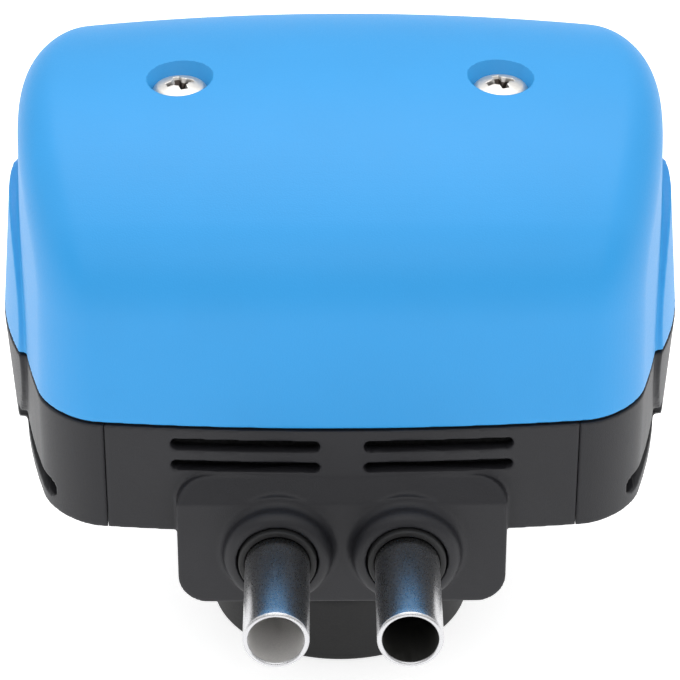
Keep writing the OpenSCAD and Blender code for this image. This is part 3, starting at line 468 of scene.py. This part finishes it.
def make_nipple(node, name):
    """Drawn steel tube with a rounded rim."""
    low, high = [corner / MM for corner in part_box(node)]
    x, z = (low.x + high.x) / 2, (low.z + high.z) / 2
    outer, inner = (high.x - low.x) / 2, (high.x - low.x) / 2 - NIPPLE_WALL
    mid, rim = (outer + inner) / 2, (outer - inner) / 2
    length = high.y - low.y
    seated = length - NIPPLE_FREE
    front = arc((mid, length - rim), rim, 0, 180, 12)
    profile = [(inner, 0.0), (outer - NIPPLE_STEP, 0.0)]
    profile += [(outer - NIPPLE_STEP, seated), (outer, seated + 0.02)]
    profile += [(outer, seated + NIPPLE_FREE * k / 12) for k in range(1, 12)] + front
    profile += [(inner, length * k / 12) for k in range(11, 0, -1)]
    return lathe(name, profile, (x, high.y, z), axis=(0, -1, 0), segments=128)


def make_bush(node, name):
    """Rubber bush with a rounded lip."""
    low, high = [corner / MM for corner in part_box(node)]
    x, z = (low.x + high.x) / 2, (low.z + high.z) / 2
    length = high.y - low.y
    body_r, lip_r, bore_r, soft = (high.x - low.x) / 2, 5.45, 4.5, 0.3
    profile = [(4.3, 0.0), (body_r, 0.0), (body_r, length - 5.4), (lip_r, length - 5.2)]
    profile += arc((lip_r - soft, length - soft), soft, 0, 90, 5)
    profile += arc((bore_r + soft, length - soft), soft, 90, 180, 5)
    profile += [(bore_r, length - 1.4), (4.3, length - 1.6)]
    return lathe(name, profile, (x, high.y, z), axis=(0, -1, 0), segments=96)


def make_foot():
    """Rubber foot with its socket."""
    low, high = [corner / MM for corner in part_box("vacuum_foot")]
    r, top = high.x, high.z
    wide, neck, socket, socket_h, way, grip = 13.0, 13.0, 8.0, 12.0, 5.5, 8.05
    profile = arc((socket + 0.6, 0.6), 0.6, 180, 270, 5)
    profile += arc((r - 0.8, 0.8), 0.8, 270, 360, 6)
    profile += arc((r - 3.0, wide - 3.0), 3.0, 0, 90, 10)
    profile += arc((neck + 1.2, wide + 1.2), 1.2, 270, 180, 6)
    profile += arc((neck - 0.6, top - 0.6), 0.6, 0, 90, 5)
    profile += [(grip, top), (grip, socket_h + 1.45), (way, socket_h + 1.45)]
    profile += [(way, socket_h), (socket, socket_h)]
    return lathe("rubber_foot", profile, (0, 0, 0), segments=160)


# ---------------------------------------------------------------- materials

def new_material(name):
    mat = bpy.data.materials.new(name)
    mat.use_nodes = True
    nodes = mat.node_tree.nodes
    shader = nodes.get("Principled BSDF")
    return mat, nodes, mat.node_tree.links, shader


def noise(nodes, links, scale, detail=3.0, stretch=(1, 1, 1)):
    """Noise whose grain has its size in the object, in metres."""
    coords = nodes.new("ShaderNodeTexCoord")
    mapping = nodes.new("ShaderNodeMapping")
    mapping.inputs["Scale"].default_value = stretch
    tex = nodes.new("ShaderNodeTexNoise")
    tex.inputs["Scale"].default_value = scale
    tex.inputs["Detail"].default_value = detail
    links.new(coords.outputs["Object"], mapping.inputs["Vector"])
    links.new(mapping.outputs["Vector"], tex.inputs["Vector"])
    return tex


def ramp(nodes, links, source, low, high):
    """Colours or greys between low and high as source goes from 0.3 to 0.7."""
    node = nodes.new("ShaderNodeValToRGB")
    node.color_ramp.elements[0].position = 0.3
    node.color_ramp.elements[1].position = 0.7
    node.color_ramp.elements[0].color = low
    node.color_ramp.elements[1].color = high
    links.new(source, node.inputs["Fac"])
    return node


def grey(value):
    return (value, value, value, 1.0)


def tint(colour, factor):
    return tuple(min(c * factor, 1.0) for c in colour[:3]) + (1.0,)


def moulded_plastic(name, colour, rough, grain, bump, spread=0.03, shine=0.5):
    """Moulded plastic: eroded fine grain, faint mottling and uneven gloss."""
    mat, nodes, links, shader = new_material(name)
    mottle = noise(nodes, links, 60.0, 2.0)
    tone = ramp(nodes, links, mottle.outputs["Fac"], tint(colour, 1 - spread), tint(colour, 1 + spread))
    links.new(tone.outputs["Color"], shader.inputs["Base Color"])
    fine = noise(nodes, links, grain, 4.0)
    gloss = ramp(nodes, links, fine.outputs["Fac"], grey(rough - 0.04), grey(rough + 0.05))
    links.new(gloss.outputs["Color"], shader.inputs["Roughness"])
    relief = nodes.new("ShaderNodeBump")
    relief.inputs["Strength"].default_value = bump
    relief.inputs["Distance"].default_value = 0.00006
    links.new(fine.outputs["Fac"], relief.inputs["Height"])
    links.new(relief.outputs["Normal"], shader.inputs["Normal"])
    shader.inputs["IOR"].default_value = 1.5
    shader.inputs["Specular IOR Level"].default_value = shine
    return mat


def metal(name, colour, rough, stretch, grain=900.0, bump=0.12):
    """Bright metal with fine drawing or turning marks along one direction."""
    mat, nodes, links, shader = new_material(name)
    shader.inputs["Metallic"].default_value = 1.0
    marks = noise(nodes, links, grain, 3.0, stretch)
    tone = ramp(nodes, links, marks.outputs["Fac"], tint(colour, 0.94), tint(colour, 1.04))
    links.new(tone.outputs["Color"], shader.inputs["Base Color"])
    gloss = ramp(nodes, links, marks.outputs["Fac"], grey(rough * 0.90), grey(rough * 1.12))
    links.new(gloss.outputs["Color"], shader.inputs["Roughness"])
    relief = nodes.new("ShaderNodeBump")
    relief.inputs["Strength"].default_value = bump
    relief.inputs["Distance"].default_value = 0.00003
    links.new(marks.outputs["Fac"], relief.inputs["Height"])
    links.new(relief.outputs["Normal"], shader.inputs["Normal"])
    return mat


def foam(name, colour):
    """Open-cell foam."""
    mat, nodes, links, shader = new_material(name)
    coords = nodes.new("ShaderNodeTexCoord")
    cells = nodes.new("ShaderNodeTexVoronoi")
    cells.inputs["Scale"].default_value = 1600.0
    links.new(coords.outputs["Object"], cells.inputs["Vector"])
    tone = ramp(nodes, links, cells.outputs["Distance"], tint(colour, 0.4), tint(colour, 1.2))
    links.new(tone.outputs["Color"], shader.inputs["Base Color"])
    shader.inputs["Roughness"].default_value = 0.95
    return mat


MATERIALS = {
    "blue_shell": moulded_plastic("blue_shell", (0.011, 0.262, 0.610), 0.50, 4600.0, 0.34, 0.02, 0.48),
    "black_shell": moulded_plastic("black_shell", (0.0125, 0.0125, 0.0150), 0.48, 4800.0, 0.55, 0.10, 0.3),
    "black_rubber": moulded_plastic("black_rubber", (0.012, 0.012, 0.0125), 0.60, 3600.0, 0.45, 0.20, 0.35),
    "stainless": metal("stainless", (0.50, 0.50, 0.51), 0.28, (1.0, 0.6, 1.0), 5200.0, 0.22),
    "screw_steel": metal("screw_steel", (0.66, 0.64, 0.61), 0.44, (1.0, 1.0, 1.0), 2500.0, 0.3),
    "brass": metal("brass", (0.83, 0.64, 0.32), 0.22, (1.0, 0.2, 1.0)),
    "white_resin": moulded_plastic("white_resin", (0.80, 0.79, 0.74), 0.40, 2500.0, 0.15, 0.03),
    # The foam's near-black colour is partly its own dark colour and partly painted shade, so that the slots
    # in front of it read black
    "filter_foam": foam("filter_foam", (0.010, 0.010, 0.011)),
}
# Both nipple bores are the same steel: the first is a painted-light copy (light grey, left bore), the
# second a painted-shade copy (dark, right bore)
PAINTED_LIT_BORE = metal("painted_lit_bore", (0.86, 0.85, 0.84), 0.60, (1.0, 1.0, 1.0), 5000.0, 0.3)
PAINTED_SHADE_BORE = metal("painted_shade_bore", (0.20, 0.20, 0.19), 0.45, (1.0, 0.6, 1.0), 2200.0, 0.9)
# Painted shade: dark steel that stands for the shade inside the screws' cross recesses
PAINTED_SHADE_RECESS = metal("painted_shade_recess", (0.12, 0.10, 0.09), 0.55, (1.0, 1.0, 1.0), 1500.0, 0.4)

SLOT_OF = {entry["node"]: entry["material_slot"] for entry in frame["record"]["subparts"]}


def finish_piece(obj, slot_name):
    obj.data.materials.clear()
    obj.data.materials.append(MATERIALS[slot_name])


def second_material(obj, mat, inside):
    """Faces whose centre, in millimetres, lies inside get the second material."""
    obj.data.materials.append(mat)
    for polygon in obj.data.polygons:
        if inside(obj.matrix_world @ polygon.center / MM):
            polygon.material_index = 1


def stand_in(obj, node, body="housing"):
    """The piece rides on its body and is shown in place of the CAD node."""
    finish_piece(obj, SLOT_OF[node])
    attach(obj, body)
    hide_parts(node)


for node_name, node_object in frame["nodes"].items():
    node_object.data.materials.clear()
    node_object.data.materials.append(MATERIALS[SLOT_OF[node_name]])

stand_in(make_cover(), "top_cover")
stand_in(make_lower("center_body", "black_center_body"), "center_body")
stand_in(make_lower("end_cover_left", "black_end_cover_left"), "end_cover_left")
stand_in(make_lower("end_cover_right", "black_end_cover_right"), "end_cover_right")
for side_name in ("left", "right"):
    tube_name = "pulse_nipple_" + side_name
    tube = make_nipple(tube_name, "steel_nipple_" + side_name)
    stand_in(tube, tube_name)
    tube_low, tube_high = [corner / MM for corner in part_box(tube_name)]
    tube_axis = (tube_low + tube_high) / 2
    bore_r = (tube_high.x - tube_low.x) / 2 - NIPPLE_WALL + 0.03
    # The left bore gets the painted-light steel and the right bore the painted-shade steel
    second_material(tube, PAINTED_LIT_BORE if side_name == "left" else PAINTED_SHADE_BORE,
                    lambda p: math.hypot(p.x - tube_axis.x, p.z - tube_axis.z) < bore_r)
    stand_in(make_bush("nipple_bush_" + side_name, "rubber_bush_" + side_name), "nipple_bush_" + side_name)
screws = joined("cross_head_screws", [make_screw(-1), make_screw(1)])
stand_in(screws, "cover_screws")
# The faces of the cross recess get the painted-shade steel
second_material(screws, PAINTED_SHADE_RECESS, lambda p: HEAD_TOP_Z - HEAD_H + 0.2 < p.z < HEAD_TOP_Z - 0.75
                and math.hypot(abs(p.x) - SCREW_X, p.y - SCREW_Y) < 2.35)
stand_in(make_foot(), "vacuum_foot")


# ---------------------------------------------------------------- stage, light and camera

def make_floor():
    size = 1.6
    floor = mesh_object("floor", [(-size, -size, 0), (size, -size, 0), (size, size, 0), (-size, size, 0)],
                        [(0, 1, 2, 3)], scale=1.0)
    mat, nodes, links, shader = new_material("floor_paint")
    cloud = noise(nodes, links, 3.0, 2.0)
    tone = ramp(nodes, links, cloud.outputs["Fac"], grey(0.79), grey(0.81))
    links.new(tone.outputs["Color"], shader.inputs["Base Color"])
    shader.inputs["Roughness"].default_value = 0.9
    shader.inputs["Emission Color"].default_value = (1.0, 1.0, 1.0, 1.0)
    shader.inputs["Emission Strength"].default_value = 0.66
    floor.data.materials.append(mat)


def area_light(name, size, power, place, target, colour=(1, 1, 1)):
    data = bpy.data.lights.new(name, "AREA")
    data.shape = "RECTANGLE"
    data.size, data.size_y = size
    data.energy = power
    data.color = colour
    light = bpy.data.objects.new(name, data)
    light.location = place
    light.rotation_euler = (Vector(target) - Vector(place)).to_track_quat("-Z", "Y").to_euler()
    bpy.context.scene.collection.objects.link(light)


def make_lights():
    world = bpy.data.worlds.new("studio")
    world.use_nodes = True
    back = world.node_tree.nodes["Background"]
    nodes, links = world.node_tree.nodes, world.node_tree.links
    coords = nodes.new("ShaderNodeTexCoord")
    height = nodes.new("ShaderNodeSeparateXYZ")
    links.new(coords.outputs["Generated"], height.inputs["Vector"])
    sky = ramp(nodes, links, height.outputs["Z"], grey(0.56), grey(1.0))
    links.new(sky.outputs["Color"], back.inputs["Color"])
    back.inputs["Strength"].default_value = 1.08
    bpy.context.scene.world = world
    middle = (0, 0, 0.06)
    area_light("top_box", (0.6, 0.3), 1.5, (0, 0.15, 0.60), middle)
    area_light("front_box", (0.5, 0.3), 0.65, (0, -0.42, 0.50), middle)
    area_light("left_strip", (0.2, 0.6), 0.25, (-0.55, 0.05, 0.28), middle)
    area_light("right_strip", (0.2, 0.6), 0.25, (0.55, 0.05, 0.28), middle)


def make_camera():
    """The camera stands where the photographer's did, a little left of the middle."""
    elevation, yaw, distance = math.radians(31), math.radians(0.4), 0.450
    target = Vector((0, 0, (PARTING_Z - 9.45) * MM))
    level = math.cos(elevation)
    away = Vector((-math.sin(yaw) * level, -math.cos(yaw) * level, math.sin(elevation)))
    data = bpy.data.cameras.new("camera")
    data.sensor_width = 36.0
    data.lens = 158.8
    data.clip_start = 0.01
    camera = bpy.data.objects.new("camera", data)
    camera.location = target + away * distance
    camera.rotation_euler = (-away).to_track_quat("-Z", "Y").to_euler()
    bpy.context.scene.collection.objects.link(camera)
    bpy.context.scene.camera = camera


make_floor()
make_lights()
make_camera()
bpy.context.scene.view_settings.view_transform = "Standard"
